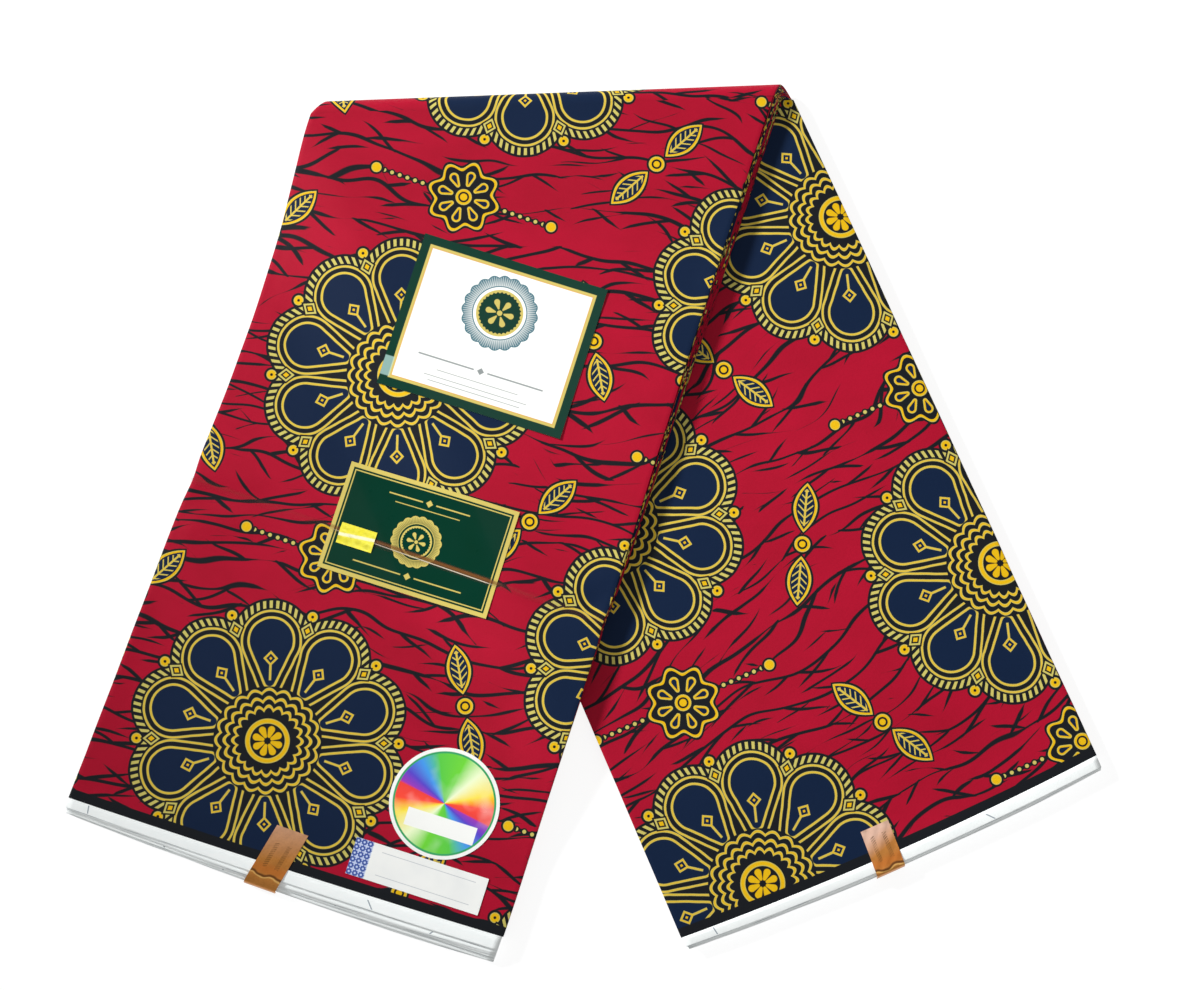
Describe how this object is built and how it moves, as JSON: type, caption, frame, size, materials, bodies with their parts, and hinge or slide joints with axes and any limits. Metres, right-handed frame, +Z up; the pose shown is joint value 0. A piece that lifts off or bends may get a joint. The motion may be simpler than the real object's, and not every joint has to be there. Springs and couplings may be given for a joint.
{
  "type": "folded pack of wax print fabric",
  "caption": "Flat folded pack of printed wax cotton, bent over once and laid down splayed, with white selvedge ends and blank labels.",
  "frame": {"origin": "on the surface the pack lies on, below the middle of its overall box", "axes": "+X along the bend, the longest way across the splayed pack; both stretches run from the bend towards -Y; +Z up, through the pack"},
  "size_m": [0.7216, 0.6144, 0.0232],
  "materials": {
    "print_cotton": "calendered cotton with a red, navy and yellow print",
    "white_selvedge": "unprinted white cotton",
    "white_paper": "smooth coated paper",
    "green_paper": "coated paper with gold lines",
    "clear_film": "thin glossy film",
    "yellow_foil": "shiny foil",
    "rainbow_foil": "foil that shows rainbow colours",
    "copper_foil": "satin copper-gold foil"
  },
  "bodies": {
    "root": {"front_stretch": "print_cotton", "back_stretch": "print_cotton", "bend": "print_cotton", "front_selvedge": "white_selvedge", "back_selvedge": "white_selvedge", "white_label": "white_paper", "green_label": "green_paper", "film_strap": "clear_film", "strap_clasp": "yellow_foil", "round_label": "rainbow_foil", "long_sticker": "white_paper", "front_foil_tab": "copper_foil", "back_foil_tab": "copper_foil"}
  },
  "joints": []
}
